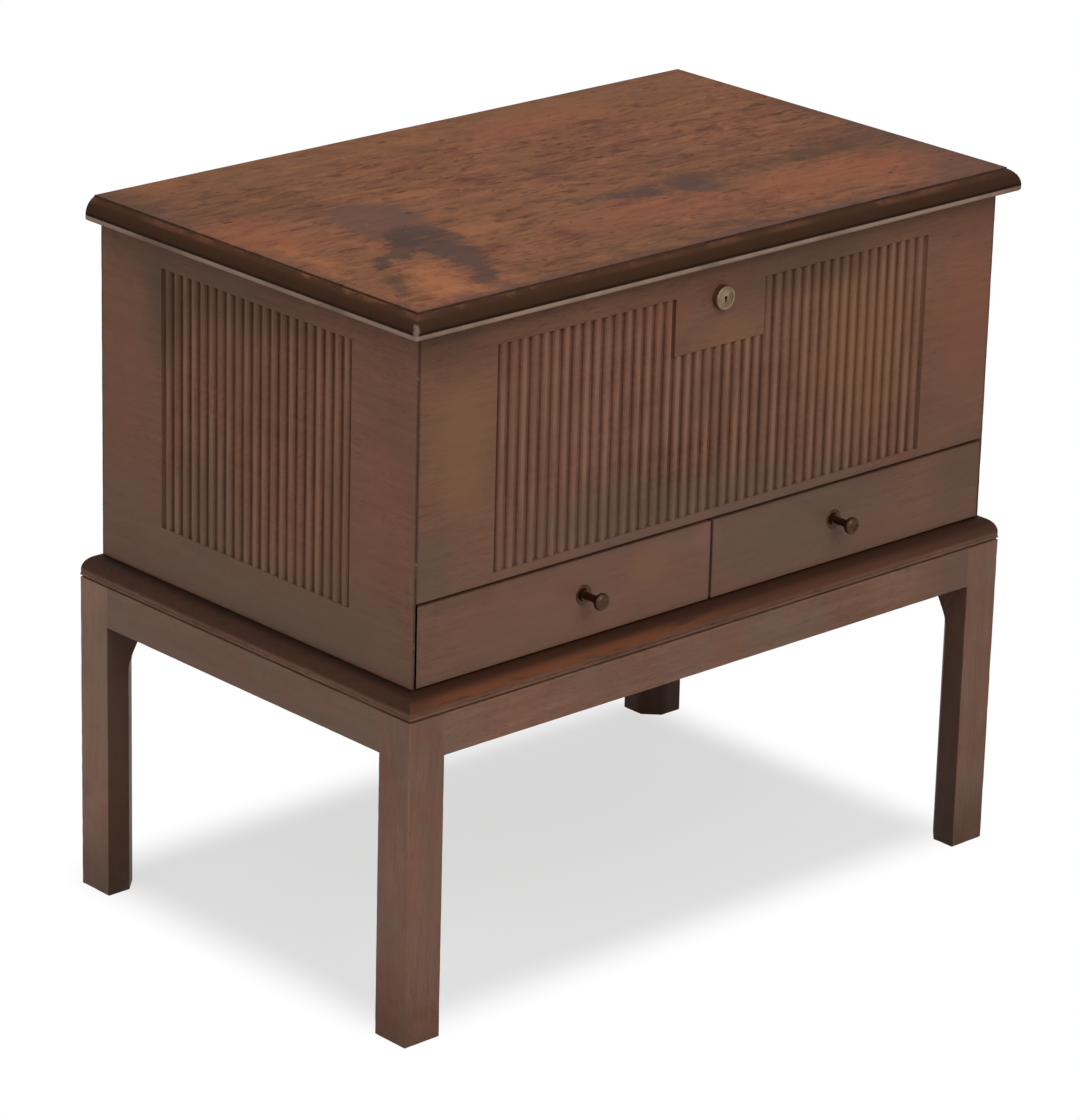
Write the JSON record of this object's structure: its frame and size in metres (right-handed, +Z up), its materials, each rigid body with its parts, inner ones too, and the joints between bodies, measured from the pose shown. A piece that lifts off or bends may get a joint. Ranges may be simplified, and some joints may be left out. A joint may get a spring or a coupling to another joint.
{
  "type": "chest on stand",
  "caption": "Low wooden chest with a hinged lid and reeded panels above small drawers with knobs, on an open stand with square chamfered legs.",
  "frame": {"origin": "on the floor, under the centre of the whole object's box, knobs included", "axes": "+X to the right and +Z up; the front with the drawers and the lock faces -Y"},
  "size_m": [0.734, 0.4704, 0.666],
  "materials": {
    "lid_wood": "polished figured hardwood, orange brown with darker streaks",
    "case_wood": "waxed hardwood, dull brown, light wear along the edges",
    "stand_wood": "waxed reddish brown hardwood",
    "lining_wood": "bare softwood, planed",
    "brass": "dull, aged",
    "dark_brass": "dark patina, worn bright on the rims",
    "steel": "plain"
  },
  "bodies": {
    "root": {"leg_front_left": "stand_wood", "leg_front_right": "stand_wood", "leg_back_left": "stand_wood", "leg_back_right": "stand_wood", "apron_front": "stand_wood", "apron_back": "stand_wood", "apron_left": "stand_wood", "apron_right": "stand_wood", "stand_top_front": "stand_wood", "stand_top_back": "stand_wood", "stand_top_left": "stand_wood", "stand_top_right": "stand_wood", "glue_blocks": "lining_wood", "case_screws": "steel", "side_left": "case_wood", "side_right": "case_wood", "front_panel": "case_wood", "back_panel": "case_wood", "back_screws": "steel", "bottom_board": "lining_wood", "chest_floor": "lining_wood", "drawer_divider": "case_wood", "lock_case": "brass", "lock_cap": "brass", "lock_barrel": "brass", "lock_screws": "brass", "hinge_left_case_leaf": "brass", "hinge_right_case_leaf": "brass", "hinge_left_pin": "brass", "hinge_right_pin": "brass", "hinge_case_screws": "brass"},
    "lid": {"lid_board": "lid_wood", "hinge_left_lid_leaf": "brass", "hinge_right_lid_leaf": "brass", "hinge_lid_screws": "brass", "link_plate": "brass", "link_plate_screws": "brass"},
    "drawer_left": {"drawer_left_front": "case_wood", "drawer_left_outer_side": "lining_wood", "drawer_left_inner_side": "lining_wood", "drawer_left_back": "lining_wood", "drawer_left_bottom": "lining_wood", "drawer_left_bottom_screws": "steel", "drawer_left_knob": "dark_brass", "drawer_left_rosette": "dark_brass", "drawer_left_knob_screw": "steel"},
    "drawer_right": {"drawer_right_front": "case_wood", "drawer_right_outer_side": "lining_wood", "drawer_right_inner_side": "lining_wood", "drawer_right_back": "lining_wood", "drawer_right_bottom": "lining_wood", "drawer_right_bottom_screws": "steel", "drawer_right_knob": "dark_brass", "drawer_right_rosette": "dark_brass", "drawer_right_knob_screw": "steel"},
    "lock_plug": {"lock_plug": "brass"},
    "lock_bolt": {"lock_bolt": "steel"}
  },
  "joints": [
    {"name": "lid_hinge", "type": "hinge", "parent": "root", "child": "lid", "pos_m": [0, 0.22565, 0.644], "axis": [-1, 0, 0], "range_deg": [0, 95]},
    {"name": "drawer_left_slide", "type": "slide", "parent": "root", "child": "drawer_left", "axis": [0, -1, 0], "range_m": [0, 0.29]},
    {"name": "drawer_right_slide", "type": "slide", "parent": "root", "child": "drawer_right", "axis": [0, -1, 0], "range_m": [0, 0.29]},
    {"name": "lock_turn", "type": "hinge", "parent": "root", "child": "lock_plug", "pos_m": [0, -0.21, 0.61], "axis": [0, 1, 0], "range_deg": [0, 90]},
    {"name": "lock_bolt_slide", "type": "slide", "parent": "root", "child": "lock_bolt", "axis": [1, 0, 0], "range_m": [0, 0.0099]}
  ],
  "couplings": [
    {"joint": "lock_turn", "follows": "lock_bolt_slide", "rad_per_m": 158.6}
  ]
}
